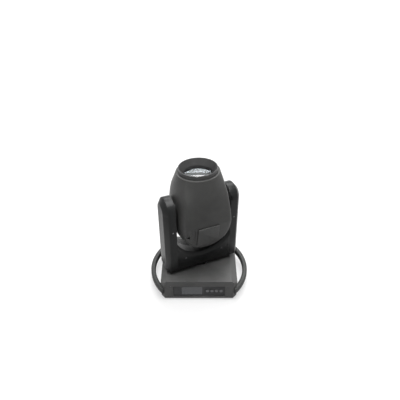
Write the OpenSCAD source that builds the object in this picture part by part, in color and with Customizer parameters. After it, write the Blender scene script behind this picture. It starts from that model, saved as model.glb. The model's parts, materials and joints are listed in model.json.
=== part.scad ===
// Moving head light: base with carry handles, panning yoke, tilting head.
// Millimetres. Origin under the pan axis on the standing surface, -Y is the display side.

/* [Base] */
// Width of the base between its handle sides
base_w = 236; // [225:1:285]
// Depth of the base, display side to socket side
base_d = 205; // [196:1:246]
// Height of the base housing above its feet
base_h = 74; // [70:1:92]
// Height of the rubber feet
feet_h = 6; // [4:1:12]
// Inset of the flat top from the handle sides
shoulder_w = 19; // [10:1:26]
// Drop of the sloping shoulder at the handle sides
shoulder_drop = 14; // [6:1:16]
// Wall of the mouldings
wall = 3; // [2.5:0.1:3.4]

/* [Handles] */
// Outer radius of the handle arcs about the pan axis
handle_r = 156; // [152:1:186]
// Radial width of a handle bar
handle_bar = 15; // [12:1:17]
// Height of a handle bar
handle_h = 22; // [16:1:26]
// Angle that one handle spans about the pan axis
handle_angle = 86; // [82:1:88]

/* [Pan drive] */
// Teeth of the large pan pulley
pan_teeth = 84; // [78:2:88]
// Teeth of the pan motor pulley
pan_motor_teeth = 18; // [16:1:22]
// Distance from the pan axis to the pan motor
pan_motor_x = 80; // [76:1:88]
// Outer diameter of the hollow pan spindle
spindle_d = 40; // [36:1:46]

/* [Yoke] */
// Rest angle of the yoke about the pan axis
pan_rest = 23; // [0:1:45]
// Overall length of the yoke across both arms
yoke_l = 238; // [234:1:250]
// Thickness of the yoke, front to back
yoke_t = 78; // [74:1:88]
// Gap between the base top and the yoke
yoke_gap = 15; // [8:1:20]
// Height of the crossbar at its middle
crossbar_h = 46; // [44:1:50]
// Radius of the saddle under the head
saddle_r = 90; // [88:1:98]
// Width of the bevel along the saddle's edge
saddle_bevel = 8; // [2:0.5:9]
// Height of the tilt axis above the yoke's underside
tilt_h = 213; // [206:1:256]

/* [Tilt drive] */
// Teeth of the large tilt pulley
tilt_teeth = 56; // [48:2:58]
// Teeth of the tilt motor pulley
tilt_motor_teeth = 16; // [14:1:18]
// Diameter of the tilt shaft in its bearings
tilt_shaft_d = 25; // [22:1:28]
// Radial clearance of a shaft in its bearing
bearing_fit = 0.05; // [0.02:0.01:0.1]

/* [Head] */
// Rest angle of the head, leaning back from the vertical
tilt_rest = 4; // [0:1:30]
// Width of the head between the arms
head_w = 162; // [156:1:166]
// Depth of the head, front to back
head_dep = 154; // [148:1:160]
// Height of the head's top edge above the tilt axis
head_up = 102; // [98:1:116]
// Outer diameter of the lens bezel
bezel_d = 111; // [108:1:116]
// Height of the bezel above the head's top edge
bezel_lip = 12; // [4:1:14]
// Width of the blank cover plate
plate_w = 65; // [50:1:70]
// Height of the blank cover plate
plate_h = 70; // [50:1:72]

/* [Optics] */
// Diameter of the front lens
lens_d = 84; // [78:1:90]
// Radius of the colour and gobo wheels
wheel_r = 42; // [38:1:43]
// Radius at which the filters and gobos sit
wheel_pcd_r = 28; // [26:0.5:29]
// Number of places on each wheel
wheel_places = 7; // [5:1:7]
// Travel of the focus lens each way
focus_travel = 30; // [10:1:31]

/* [Hidden] */
$fn = 96;

black = [0.16, 0.16, 0.16];
steel = [0.7, 0.71, 0.72];
plated = [0.5, 0.51, 0.53];
rubber = [0.08, 0.08, 0.08];
board_green = [0.05, 0.3, 0.15];
glass_tint = [0.6, 0.68, 0.75, 0.6];

// Cuts run past the faces they open by this much
cut = 1;
// Gap between pieces that move past each other
play = 0.4;

// Heights in the base
base_top = feet_h + base_h;
tray_t = 2;
floor_z = feet_h + tray_t;
corner_x = 12;
corner_y = 14;
// A cut corner and a shoulder shrink by these shares of an inset
corner_share = 0.4;
shoulder_share = 0.6;
clamp_x = 53;
clamp_y = 70;
clamp_hole_d = 9;
safety_x = 14;
safety_y = 84;
safety_hole_d = 14;
shoulder_z = base_top - shoulder_drop;
spindle_hole_d = spindle_d + 24;
spindle_bore_d = spindle_d - 12;

// Panels on the display and socket sides
window_w = 160;
window_z0 = floor_z + 6;
window_z1 = floor_z + 50;
panel_t = 2.5;
panel_lap = 4;
panel_z0 = window_z0 - panel_lap;
panel_z1 = window_z1 + panel_lap;
panel_y = base_d / 2 - wall;
display_x = -22;
display_z = floor_z + 28;
display_w = 64;
display_h = 34;
button_r = 5;
button_x = [26, 40, 54, 68];
button_z = floor_z + 28;
button_back = panel_y - panel_t - 5.2;
socket_z = floor_z + 28;
socket_hole_r = 12;
socket_x = [-62, -28, 22, 56];

// Handles
handle_z = feet_h + 20;

// Pan drive
belt_pitch = 3;
belt_w = 8;
belt_t = 1.5;
belt_play = 0.4;
pan_r = pan_teeth * belt_pitch / (2 * PI);
pan_motor_r = pan_motor_teeth * belt_pitch / (2 * PI);
motor_w = 42;
motor_l = 38;
motor_pilot_d = 22;
motor_shaft_d = 5;
pinion_bore_d = motor_shaft_d - 0.1;
bridge_z = floor_z + 42;
bridge_t = 3;
pulley_gap = 2;
pulley_w = 10;
pan_pulley_z = bridge_z + bridge_t + pulley_gap;
pan_bearing_d = spindle_d + 12;
pan_bearing_h = 7;
hub_d = pan_bearing_d + 8;
hub_h = 12;
flange_d = 56;
flange_z0 = base_top + 1;

// Yoke
yoke_z = base_top + yoke_gap;
yoke_x = yoke_l / 2;
arm_r = yoke_t / 2;
arm_gap = 85;
arm_flat = 107;
arm_chamfer = 16;
plate_t = 4;
frame_t = 3;
tilt_z = yoke_z + tilt_h;
saddle_z = yoke_z + crossbar_h;
saddle_c = saddle_z + saddle_r;
cover_screw_x = 59;
cover_screw_z = yoke_z + 42;
arm_screw_x = 96;
arm_screw_z = tilt_z - 60;

// Tilt drive
tilt_r = tilt_teeth * belt_pitch / (2 * PI);
tilt_motor_r = tilt_motor_teeth * belt_pitch / (2 * PI);
tilt_motor_z = yoke_z + 31;
tilt_belt_h = tilt_z - tilt_motor_z;
tilt_bearing_x = arm_gap + 1;
tilt_bearing_w = 7;
tilt_bearing_d = tilt_shaft_d + 12;
tilt_pulley_x = tilt_bearing_x + tilt_bearing_w + 2;
tilt_hub_r = 16;

// Head, with heights counted from the tilt axis
tail_c = -49;
tail_r = head_w / 2;
tail_z = tail_c - tail_r;
seat_z = -40;
seat_slope = 0.22;
tail_round = 8;
tail_corner = 28;
tail_corner_drop = 0.2;
seat_tilt = atan(seat_slope);
shell_out = 62;
slice_t = 0.2;
// Head sections: height, inset at the sides, inset at front and rear, corner radius
head_sections = [
    [seat_z, 0.5, 0, 29], [5, 0.5, 1, 32], [38, 3.5, 3.5, 38], [60, 8, 6.5, 45], [80, 13, 10, 53]
];
rim_up = head_up + bezel_lip;
chassis_x = 58;
chassis_t = 2;
fan_h = 14;
fan_w = 70;
sink_z0 = -93;
fan_z = sink_z0 - fan_h;
sink_z1 = -66;
engine_t = 3;
condenser_z = -60;
condenser_r = 24;
colour_z = -44;
lower_plate_z = -40;
gobo_z = -36;
upper_plate_z = -31;
sheet_t = 2;
rod_x = 50;
rod_d = 5;
screw_d = 6;
focus_xy = -36;
focus_z = 20;
focus_lens_r = 30;
carriage_t = 8;
ring_z = focus_z + focus_travel + carriage_t / 2 + 6;
ring_t = 3;
beam_r = 14;
filter_r = 11;
lens_z = rim_up - 28;
lens_t = 8;

module in_yoke() { rotate([0, 0, pan_rest]) children(); }
module in_head() {
    in_yoke() translate([0, 0, tilt_z]) rotate([-tilt_rest, 0, 0]) children();
}
module along_x(x) { translate([x, 0, 0]) rotate([0, 90, 0]) children(); }
module both_ways() {
    children();
    mirror([1, 0, 0]) children();
}
module four_corners(x, y) {
    for (sx = [-1, 1]) for (sy = [-1, 1]) translate([sx * x, sy * y, 0]) children();
}
module block(w, d, h) { translate([-w / 2, -d / 2, 0]) cube([w, d, h]); }
module tube(r_out, r_in, h) {
    difference() {
        cylinder(r = r_out, h = h);
        translate([0, 0, -cut]) cylinder(r = r_in, h = h + 2 * cut);
    }
}

// Rectangle with cut corners, the base's outline
module base_outline(inset = 0) {
    x = base_w / 2 - inset;
    y = base_d / 2 - inset;
    cx = corner_x - inset * corner_share;
    cy = corner_y - inset * corner_share;
    polygon([
        [x - cx, -y], [x, -y + cy], [x, y - cy], [x - cx, y],
        [-x + cx, y], [-x, y - cy], [-x, -y + cy], [-x + cx, -y]
    ]);
}

// Base housing with its flat top and sloping shoulders
module base_solid(inset, z0) {
    x = base_w / 2 - inset;
    top = base_top - inset;
    intersection() {
        translate([0, 0, z0]) linear_extrude(base_h + cut) base_outline(inset);
        translate([0, base_d / 2, 0]) rotate([90, 0, 0]) linear_extrude(base_d) polygon([
            [-x, z0], [x, z0], [x, shoulder_z - inset * shoulder_share],
            [x - shoulder_w, top], [-x + shoulder_w, top], [-x, shoulder_z - inset * shoulder_share]
        ]);
    }
}

module base_tray() {
    lip_h = 8;
    color(black) difference() {
        union() {
            translate([0, 0, feet_h]) linear_extrude(tray_t) base_outline();
            translate([0, 0, floor_z]) linear_extrude(lip_h) difference() {
                base_outline(wall);
                base_outline(wall + 2);
                square([window_w + 2 * panel_lap + 2, base_d], center = true);
            }
        }
        // Quarter-turn holes for two truss clamps
        translate([0, 0, feet_h - cut])
            four_corners(clamp_x, clamp_y) cylinder(d = clamp_hole_d, h = tray_t + 2 * cut);
        // Eye for the safety wire, a pair of round holes
        translate([0, 0, feet_h - cut]) both_ways()
            translate([safety_x, -safety_y, 0]) cylinder(d = safety_hole_d, h = tray_t + 2 * cut);
        for (x = [-36 : 12 : 36]) translate([x, safety_y, feet_h - cut])
            block(4, 22, tray_t + 2 * cut);
    }
}

module vent_row(count, pitch, slot_w, slot_h, depth) {
    for (i = [0 : count - 1]) translate([0, (i - (count - 1) / 2) * pitch, 0])
        translate([-depth / 2, -slot_w / 2, 0]) cube([depth, slot_w, slot_h]);
}

module base_cover() {
    color(black) difference() {
        base_solid(0, floor_z);
        base_solid(wall, floor_z - cut);
        translate([0, 0, base_top - wall - cut]) cylinder(d = spindle_hole_d, h = wall + 2 * cut);
        translate([-window_w / 2, -base_d, window_z0])
            cube([window_w, 2 * base_d, window_z1 - window_z0]);
        both_ways() translate([base_w / 2, 0, floor_z + 16]) vent_row(9, 8, 3.5, 22, 3 * wall);
    }
}

module panel_sheet() {
    translate([-window_w / 2 - panel_lap, -panel_t, panel_z0])
        cube([window_w + 2 * panel_lap, panel_t, panel_z1 - panel_z0]);
}

module front_panel() {
    color(black) translate([0, -panel_y + panel_t, 0]) difference() {
        panel_sheet();
        translate([display_x, 0, display_z - display_h / 2]) block(display_w, 4 * panel_t, display_h);
        for (x = button_x) translate([x, 0, button_z]) rotate([90, 0, 0])
            cylinder(r = button_r + play, h = 4 * panel_t, center = true);
    }
}

// Screen on its circuit board, with one switch behind each button
module display() {
    board_back = panel_y - panel_t - 10;
    fit = 0.2;
    color(glass_tint) union() {
        translate([display_x, -panel_y + panel_t / 2 + 0.25, display_z - display_h / 2 + fit])
            block(display_w - 2 * fit, panel_t - 0.5, display_h - 2 * fit);
        translate([display_x - 35, -panel_y + panel_t, display_z - 20]) cube([70, 10, 40]);
        translate([display_x - 38, -board_back, display_z - 22]) cube([138, 1.6, 44]);
        for (x = button_x) translate([x - 3, -board_back - 3, button_z - 3]) cube([6, 3, 6]);
    }
}

module button(i) {
    flange_t = 1.4;
    color([0.3, 0.3, 0.31]) translate([button_x[i], 0, button_z]) rotate([90, 0, 0]) {
        translate([0, 0, panel_y - panel_t - 0.4]) cylinder(r = button_r, h = panel_t + 2);
        translate([0, 0, panel_y - panel_t - 0.4 - flange_t])
            cylinder(r = button_r + 1.5, h = flange_t);
        translate([0, 0, button_back]) cylinder(r = 2, h = 4);
    }
}

module rear_panel() {
    color(black) translate([0, panel_y, 0]) difference() {
        panel_sheet();
        for (x = socket_x) translate([x, 0, socket_z]) rotate([90, 0, 0])
            cylinder(r = socket_hole_r, h = 4 * panel_t, center = true);
    }
}

// Panel socket: square flange, round barrel, a recess with contacts at its floor
module socket(i, recess_r, contacts, contact_r, tint) {
    flange_w = 26;
    flange_h = 31;
    flange_t = 2;
    barrel_l = 26;
    recess = 12;
    color(tint) translate([socket_x[i], panel_y + flange_t, socket_z]) rotate([90, 0, 0]) {
        difference() {
            union() {
                translate([-flange_w / 2, -flange_h / 2, 0]) cube([flange_w, flange_h, flange_t]);
                cylinder(r = socket_hole_r, h = barrel_l);
            }
            translate([0, 0, -cut]) cylinder(r = recess_r, h = recess + cut);
        }
        for (k = [0 : contacts - 1]) rotate([0, 0, k * 360 / contacts])
            translate([recess_r * 0.55, 0, recess - 5]) cylinder(r = contact_r, h = 5 + cut);
    }
}
module power_inlet() { socket(0, 10, 3, 1.6, [0.12, 0.25, 0.6]); }
module power_outlet() { socket(1, 10, 3, 1.6, [0.6, 0.6, 0.6]); }
module data_inlet() { socket(2, 9.5, 5, 0.9, plated); }
module data_outlet() { socket(3, 9.5, 3, 0.9, plated); }

// Carry handle: an arc about the pan axis, fitted to the base's side and cut corners
module handle() {
    edge = 3;
    inner = handle_r - handle_bar;
    top = handle_h - edge;
    difference() {
        rotate([0, 0, -handle_angle / 2]) rotate_extrude(angle = handle_angle) polygon([
            [inner, edge], [inner + edge, 0], [handle_r - edge, 0], [handle_r, edge],
            [handle_r, top], [handle_r - edge, handle_h], [inner + edge, handle_h], [inner, top]
        ]);
        translate([0, 0, -cut]) linear_extrude(handle_h + 2 * cut) base_outline();
    }
}
module handle_right() { color(black) translate([0, 0, handle_z]) handle(); }
module handle_left() { color(black) mirror([1, 0, 0]) translate([0, 0, handle_z]) handle(); }

module feet() {
    color(rubber) four_corners(base_w / 2 - 22, base_d / 2 - 22)
        cylinder(r1 = 10, r2 = 12, h = feet_h);
}

module power_supply() {
    w = 70;
    d = 104;
    h = 34;
    color(plated) translate([-base_w / 2 + wall + 4 + w / 2, 6, floor_z]) difference() {
        union() {
            block(w, d, h);
            translate([0, -d / 2 - 6, 0]) block(w - 10, 12, 14);
        }
        for (i = [-5 : 5]) translate([0, i * 8, h - 2]) block(w - 16, 3, 3);
    }
}

module control_board() {
    color(board_green) translate([26, -62, floor_z]) union() {
        translate([0, 0, 6]) block(128, 36, 1.6);
        four_corners(58, 13) cylinder(d = 6, h = 6 + 0.4);
        translate([-30, 0, 7.2]) block(20, 20, 3.4);
        translate([20, 4, 7.2]) block(14, 14, 2.6);
        for (i = [-4 : 4]) translate([i * 12, -13, 7.2]) block(8, 6, 8);
    }
}

// Steel bridge that carries the spindle's bearings and the pan motor
module pan_bridge() {
    far_x = pan_motor_x + 26;
    near_x = -32;
    color(plated) difference() {
        union() {
            translate([near_x, -38, bridge_z]) cube([far_x - near_x, 76, bridge_t]);
            for (x = [near_x, far_x - 3]) for (y = [-38, 26]) translate([x, y, floor_z])
                cube([3, 12, bridge_z - floor_z + cut]);
            translate([0, 0, bridge_z - hub_h]) cylinder(d = hub_d, h = hub_h + cut);
        }
        translate([0, 0, bridge_z - hub_h - cut]) cylinder(d = spindle_d + 4, h = hub_h + bridge_t);
        translate([0, 0, bridge_z + bridge_t - pan_bearing_h])
            cylinder(d = pan_bearing_d, h = pan_bearing_h + cut);
        translate([pan_motor_x, 0, bridge_z - cut]) cylinder(d = motor_pilot_d + 1, h = bridge_t + 2 * cut);
    }
}

module pan_bearing() {
    color(steel) translate([0, 0, bridge_z + bridge_t - pan_bearing_h])
        tube(pan_bearing_d / 2, spindle_d / 2 + bearing_fit, pan_bearing_h);
}

// Square stepper motor with a round pilot, shaft bore along +Z
module stepper(w, l, pilot_d) {
    difference() {
        union() {
            intersection() {
                translate([0, 0, -l]) block(w, w, l);
                translate([0, 0, -l]) rotate([0, 0, 45]) block(w * 1.27, w * 1.27, l);
            }
            cylinder(d = pilot_d, h = 2);
        }
        translate([0, 0, -4]) cylinder(d = motor_shaft_d + 2 * bearing_fit, h = 4 + 2 + cut);
    }
}

module pan_motor() {
    color(black) translate([pan_motor_x, 0, bridge_z]) stepper(motor_w, motor_l, motor_pilot_d);
}

// Toothed pulley with two side flanges; teeth are left smooth under the belt
module pulley(r, bore_d, w) {
    rim = 1.5;
    difference() {
        union() {
            cylinder(r = r, h = w);
            cylinder(r = r + rim, h = 1);
            translate([0, 0, w - 1]) cylinder(r = r + rim, h = 1);
        }
        translate([0, 0, -cut]) cylinder(d = bore_d, h = w + 2 * cut);
    }
}

// Belt loop round two pulleys, the second at distance d along +X
module belt(r1, r2, d) {
    module loop(grow) {
        hull() {
            circle(r = r1 + grow, $fn = 64);
            translate([d, 0]) circle(r = r2 + grow, $fn = 32);
        }
    }
    linear_extrude(belt_w - 2 * belt_play) difference() {
        loop(belt_play + belt_t);
        loop(belt_play);
    }
}

module pan_belt() {
    color(rubber) translate([0, 0, pan_pulley_z + 1 + belt_play]) belt(pan_r, pan_motor_r, pan_motor_x);
}
module pan_pinion() {
    root = pulley_gap + bridge_t + 3;
    color(steel) translate([pan_motor_x, 0, pan_pulley_z]) union() {
        pulley(pan_motor_r, pinion_bore_d, pulley_w);
        translate([0, 0, -root]) cylinder(d = motor_shaft_d, h = pulley_w + root + 1);
    }
}

module screw_head(d) {
    difference() {
        cylinder(r1 = d / 2, r2 = d / 2 - 0.8, h = 1.6);
        translate([0, 0, 0.7]) cylinder(d = d * 0.45, h = 1.6, $fn = 6);
    }
}

module base_screws() {
    color(steel) for (s = [-1, 1]) {
        for (x = [-88, 88]) for (z = [floor_z + 5, floor_z + 48])
            translate([x, s * base_d / 2, z]) rotate([-s * 90, 0, 0]) screw_head(6);
    }
}

module pan_spindle() {
    color(steel) in_yoke() difference() {
        union() {
            translate([0, 0, bridge_z - hub_h]) cylinder(d = spindle_d, h = flange_z0 - bridge_z + hub_h + 1);
            translate([0, 0, flange_z0]) cylinder(d = flange_d, h = yoke_z - flange_z0);
        }
        translate([0, 0, bridge_z - hub_h - cut]) cylinder(d = spindle_bore_d, h = base_h);
    }
}

module pan_pulley() {
    color(plated) in_yoke() translate([0, 0, pan_pulley_z]) difference() {
        pulley(pan_r, spindle_d, pulley_w);
        for (a = [0 : 60 : 300]) rotate([0, 0, a]) translate([(spindle_d + 2 * pan_r) / 4, 0, -cut])
            cylinder(d = 10, h = pulley_w + 2 * cut);
    }
}

// Arm outline solid: upright slab with a round top, chamfered towards its outer end
module arm_solid(inset) {
    r = arm_r - inset;
    r_end = arm_r - arm_chamfer - inset;
    out = yoke_x - inset;
    low = yoke_z + inset;
    start = inset > 0 ? arm_gap - cut : arm_gap;
    translate([0, 0, low]) linear_extrude(tilt_z - low) polygon([
        [start, -r], [arm_flat, -r], [out, -r_end], [out, r_end], [arm_flat, r], [start, r]
    ]);
    translate([0, 0, tilt_z]) {
        along_x(start) cylinder(r = r, h = arm_flat - start);
        along_x(arm_flat) cylinder(r1 = r, r2 = r_end, h = out - arm_flat);
    }
}

module arm_cover() {
    difference() {
        arm_solid(0);
        arm_solid(wall);
    }
}
module arm_cover_right() { color(black) in_yoke() arm_cover(); }
module arm_cover_left() { color(black) in_yoke() mirror([1, 0, 0]) arm_cover(); }

// Half of the crossbar housing: front wall, bevelled saddle edge and saddle skin
module crossbar_cover() {
    deep = arm_r;
    module saddle(r, y0, y1) {
        translate([0, y0, saddle_c]) rotate([-90, 0, 0]) cylinder(r = r, h = y1 - y0);
    }
    difference() {
        translate([-arm_gap, -deep, yoke_z]) cube([2 * arm_gap, deep, saddle_c - yoke_z]);
        saddle(saddle_r, -deep - cut, cut);
        translate([0, -deep, saddle_c]) rotate([-90, 0, 0]) translate([0, 0, -cut])
            cylinder(r1 = saddle_r + saddle_bevel + cut, r2 = saddle_r, h = saddle_bevel + cut);
        difference() {
            translate([-arm_gap - cut, -deep + wall, yoke_z - cut])
                cube([2 * arm_gap + 2 * cut, deep, saddle_c - yoke_z]);
            saddle(saddle_r + wall, -deep, cut);
            translate([0, -deep, saddle_c]) rotate([-90, 0, 0])
                cylinder(r1 = saddle_r + saddle_bevel + 2 * wall, r2 = saddle_r + wall,
                    h = saddle_bevel + wall);
        }
    }
}
module yoke_cover_front() { color(black) in_yoke() crossbar_cover(); }
module yoke_cover_rear() { color(black) in_yoke() rotate([0, 0, 180]) crossbar_cover(); }

// Structural frame: bottom plate with two upright bearing plates
module yoke_frame() {
    half = arm_r - wall;
    boss = tilt_bearing_d / 2 + 4;
    color(plated) in_yoke() difference() {
        union() {
            translate([0, 0, yoke_z]) block(2 * arm_gap - 1, 2 * half, plate_t);
            for (s = [0, 1]) mirror([s, 0, 0]) {
                translate([arm_gap, -half, yoke_z + wall]) cube([frame_t, 2 * half, tilt_z - yoke_z - wall]);
                translate([arm_gap - 12, -half, yoke_z + wall]) cube([13, 2 * half, plate_t]);
                translate([0, 0, tilt_z]) {
                    along_x(arm_gap) cylinder(r = half, h = frame_t);
                    along_x(arm_gap) cylinder(r = boss, h = 1 + tilt_bearing_w);
                }
            }
        }
        translate([0, 0, yoke_z - cut]) cylinder(d = spindle_bore_d, h = plate_t + wall + 2 * cut);
        translate([0, 0, tilt_z]) for (s = [0, 1]) mirror([s, 0, 0]) {
            along_x(arm_gap - cut) cylinder(r = tilt_hub_r + 1, h = 40);
            along_x(tilt_bearing_x) cylinder(d = tilt_bearing_d, h = 40);
        }
        translate([0, 0, tilt_motor_z]) along_x(arm_gap - cut) cylinder(d = motor_pilot_d + play, h = 10);
    }
}

module tilt_bearings() {
    color(steel) in_yoke() translate([0, 0, tilt_z]) for (s = [0, 1]) mirror([s, 0, 0])
        along_x(tilt_bearing_x) tube(tilt_bearing_d / 2, tilt_shaft_d / 2 + bearing_fit, tilt_bearing_w);
}

module tilt_motor() {
    color(black) in_yoke() translate([arm_gap, 0, tilt_motor_z]) rotate([0, 90, 0])
        stepper(motor_w, motor_l, motor_pilot_d);
}

module tilt_pinion() {
    tip = tilt_pulley_x - arm_gap;
    color(steel) in_yoke() translate([arm_gap, 0, tilt_motor_z]) rotate([0, 90, 0]) union() {
        translate([0, 0, tip]) pulley(tilt_motor_r, pinion_bore_d, pulley_w);
        translate([0, 0, -3]) cylinder(d = motor_shaft_d, h = tip + pulley_w + 4);
    }
}

module tilt_belt() {
    color(rubber) in_yoke() translate([tilt_pulley_x + 1 + belt_play, 0, tilt_z]) rotate([0, 90, 0])
        belt(tilt_r, tilt_motor_r, tilt_belt_h);
}

module yoke_screws() {
    color(steel) in_yoke() {
        for (s = [0, 180]) rotate([0, 0, s]) for (x = [-cover_screw_x, cover_screw_x])
            translate([x, -arm_r, cover_screw_z]) rotate([90, 0, 0]) screw_head(6);
        for (s = [0, 180]) rotate([0, 0, s]) for (x = [-arm_screw_x, arm_screw_x])
            translate([x, -arm_r, arm_screw_z]) rotate([90, 0, 0]) screw_head(6);
    }
}

// Rounded rectangle slice of the head, half sizes a and b, corner radius r
module slice(z, a, b, r) {
    translate([0, 0, z]) for (sx = [-1, 1]) for (sy = [-1, 1])
        translate([sx * (a - r), sy * (b - r), 0]) cylinder(r = r, h = slice_t, $fn = 40);
}

// Head outline: round tail, widest above it, tapering to a round top
module head_solid(inset) {
    w = head_w / 2;
    d = head_dep / 2;
    hull() {
        for (a = [0, 18, 36, 54, 72]) {
            z = tail_c - (tail_r - inset) * sin(a);
            b = d - seat_slope * (seat_z - z) - tail_round * pow(sin(a), 6) - inset;
            half = (tail_r - inset) * cos(a);
            slice(z, half, b, min(tail_corner - a * tail_corner_drop - inset, half - 1));
        }
        for (s = head_sections) slice(s[0], w - s[1] - inset, d - s[2] - inset, s[3] - inset);
        translate([0, 0, head_up - inset]) cylinder(r = shell_out - inset * 0.3, h = slice_t, $fn = 64);
    }
}

module shell_half() {
    difference() {
        head_solid(0);
        head_solid(wall);
        translate([-head_w, 0, -200]) cube([2 * head_w, head_w, 400]);
        translate([0, 0, head_up - 40]) cylinder(d = bezel_d + 0.3, h = 80);
        both_ways() along_x(chassis_x) cylinder(r = tilt_hub_r + 0.6, h = 60);
    }
}

// Frame lying on the sloping front of the tail, -Y outwards, Z up the slope
module on_slope() {
    translate([0, -head_dep / 2, seat_z]) rotate([seat_tilt, 0, 0]) children();
}

// Vents at the tail: slots across the bottom of each half
module tail_vents() {
    for (i = [-3 : 3]) translate([i * 9, -28, tail_z - 6]) block(4, 36, 24);
}

module head_shell_front() {
    color(black) in_head() difference() {
        shell_half();
        tail_vents();
        // Slanted finger slot beside the cover plate
        on_slope() translate([-64, 0, -27.5]) rotate([90, 0, 0])
            linear_extrude(20, center = true) polygon([[-6, 1], [6, -5.5], [6, 5.5]]);
        // Two shallow grooves between the slot and the plate
        for (x = [-53, -44]) on_slope() translate([x, -1, -52]) cube([1.6, 2.2, 52]);
    }
}
module head_shell_rear() {
    color(black) in_head() difference() {
        rotate([0, 0, 180]) shell_half();
        rotate([0, 0, 180]) tail_vents();
        for (i = [-4 : 4]) translate([0, head_dep / 2 - 12, seat_z - 20 + i * 8]) block(80, 50, 3.5);
    }
}

// Blank plate on the sloping front of the tail
module cover_plate() {
    plate_x = -3;
    blank_t = 2;
    color(black) in_head() on_slope() translate([plate_x - plate_w / 2, -blank_t, -plate_h - 1])
        cube([plate_w, blank_t, plate_h]);
}

// Bezel ring round the recessed lens
module bezel() {
    r = bezel_d / 2;
    r_in = r - 2.5;
    seat = lens_z;
    edge_t = 4;
    color(black) in_head() rotate_extrude() polygon([
        [lens_d / 2 - 3, seat - 4], [r, seat - 4], [r, rim_up - 1], [r - 1, rim_up],
        [r_in + 1, rim_up], [r_in, rim_up - 1], [lens_d / 2 + 0.2, seat + edge_t],
        [lens_d / 2 + 0.2, seat], [lens_d / 2 - 3, seat]
    ]);
}

// Front lens: flat back, domed front
module front_lens() {
    r = lens_d / 2;
    dome = lens_t - 3;
    ball = (r * r + dome * dome) / (2 * dome);
    color(glass_tint) in_head() translate([0, 0, lens_z]) rotate_extrude() intersection() {
        square([r, lens_t]);
        translate([0, lens_t - ball]) circle(r = ball, $fn = 720);
    }
}

// Welded chassis: two side plates and the ring that carries the rods
module head_chassis() {
    low = sink_z0 + 2;
    color(plated) in_head() difference() {
        union() {
            both_ways() {
                translate([chassis_x, -34, low]) cube([chassis_t, 68, 36 - low]);
                translate([chassis_x, -14, 35]) cube([chassis_t, 28, ring_z - 34]);
            }
            translate([0, 0, ring_z]) cylinder(r = chassis_x + chassis_t, h = ring_t);
        }
        translate([0, 0, ring_z - cut]) cylinder(r = 44, h = ring_t + 2 * cut);
        both_ways() along_x(chassis_x - cut) cylinder(r = 8, h = chassis_t + 2 * cut);
        both_ways() translate([rod_x, 0, ring_z - cut]) cylinder(d = rod_d, h = ring_t + 2 * cut);
        translate([focus_xy, focus_xy, ring_z - cut])
            cylinder(d = screw_d + 2 * bearing_fit, h = ring_t + 2 * cut);
    }
}

// Hollow trunnions on both sides of the chassis
module trunnions() {
    start = chassis_x + chassis_t;
    hub_end = arm_gap - play;
    module trunnion(end) {
        difference() {
            union() {
                along_x(start) cylinder(r = 26, h = 4);
                along_x(start) cylinder(r = tilt_hub_r, h = hub_end - start);
                along_x(start) cylinder(d = tilt_shaft_d, h = end - start);
            }
            along_x(start - cut) cylinder(r = 8, h = end);
        }
    }
    color(steel) in_head() {
        trunnion(tilt_pulley_x + pulley_w + 1);
        mirror([1, 0, 0]) trunnion(tilt_bearing_x + tilt_bearing_w + 3);
    }
}

module tilt_pulley() {
    color(plated) in_head() along_x(tilt_pulley_x) pulley(tilt_r, tilt_shaft_d, pulley_w);
}

module heatsink() {
    base_t = 6;
    w = 2 * chassis_x - 0.4;
    color([0.75, 0.75, 0.76]) in_head() {
        translate([0, 0, sink_z1 - base_t]) block(w, 76, base_t);
        for (i = [-8 : 8]) translate([i * 6.8, 0, sink_z0]) block(1.6, 72, sink_z1 - base_t - sink_z0 + 0.5);
    }
}

module light_engine() {
    color([0.85, 0.8, 0.3]) in_head() translate([0, 0, sink_z1]) union() {
        block(56, 56, engine_t);
        cylinder(r = 11, h = engine_t + 1.2);
        translate([0, 0, engine_t]) {
            tube(27, 21, condenser_z - sink_z1 - engine_t);
            tube(27, condenser_r + 0.1, condenser_z - sink_z1 - engine_t + 4);
        }
    }
}

module condenser() {
    color(glass_tint) in_head() translate([0, 0, condenser_z]) {
        cylinder(r = condenser_r, h = 4);
        translate([0, 0, 3]) cylinder(r1 = condenser_r, r2 = 15, h = 8);
    }
}

// Two sheet plates that carry the wheels, their motors and the rods
module optics_frame() {
    w = 2 * chassis_x - 0.4;
    color(plated) in_head() difference() {
        union() {
            translate([0, 0, lower_plate_z]) block(w, 100, sheet_t);
            translate([-w / 2, -58, upper_plate_z]) cube([w, 68, sheet_t]);
            for (x = [-w / 2, w / 2 - 2]) translate([x, -30, lower_plate_z])
                cube([2, 38, upper_plate_z - lower_plate_z + 1]);
        }
        translate([0, 0, lower_plate_z - cut]) cylinder(r = beam_r, h = 20);
        for (s = [-1, 1]) translate([0, s * wheel_pcd_r, lower_plate_z - cut])
            cylinder(d = 5, h = 20);
        both_ways() translate([rod_x, 0, upper_plate_z - cut]) cylinder(d = rod_d, h = 20);
    }
}

// Round wheel motor, its shaft side down at z
module wheel_motor(y, z) {
    color(black) in_head() translate([0, y, z]) difference() {
        cylinder(d = 25, h = 14);
        translate([0, 0, -cut]) cylinder(d = 3 + 2 * bearing_fit, h = 6 + cut);
    }
}
module colour_motor() { wheel_motor(wheel_pcd_r, lower_plate_z + sheet_t); }
module gobo_motor() { wheel_motor(-wheel_pcd_r, upper_plate_z + sheet_t); }

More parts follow.
